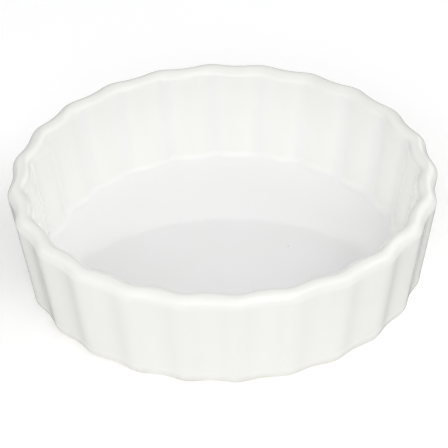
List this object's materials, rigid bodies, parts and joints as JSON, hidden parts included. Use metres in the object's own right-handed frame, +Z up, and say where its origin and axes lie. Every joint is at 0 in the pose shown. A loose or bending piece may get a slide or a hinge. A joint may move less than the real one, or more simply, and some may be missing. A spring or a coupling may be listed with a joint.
{
  "type": "round baking dish",
  "caption": "Low round fluted baking dish in white glazed porcelain, with a rounded rim and a bare foot ring, for baking and serving one portion.",
  "frame": {"origin": "centre of the foot ring's underside, on the surface that the dish stands on", "axes": "+Z up along the dish's axis, +X through a flute crest"},
  "size_m": [0.12, 0.12, 0.0308],
  "materials": {
    "bare_porcelain": "bare fired clay, fine and matt",
    "white_glaze": "glossy white glaze"
  },
  "bodies": {
    "root": {"porcelain_body": "bare_porcelain", "glaze_coat": "white_glaze", "base_glaze": "white_glaze"}
  },
  "joints": []
}
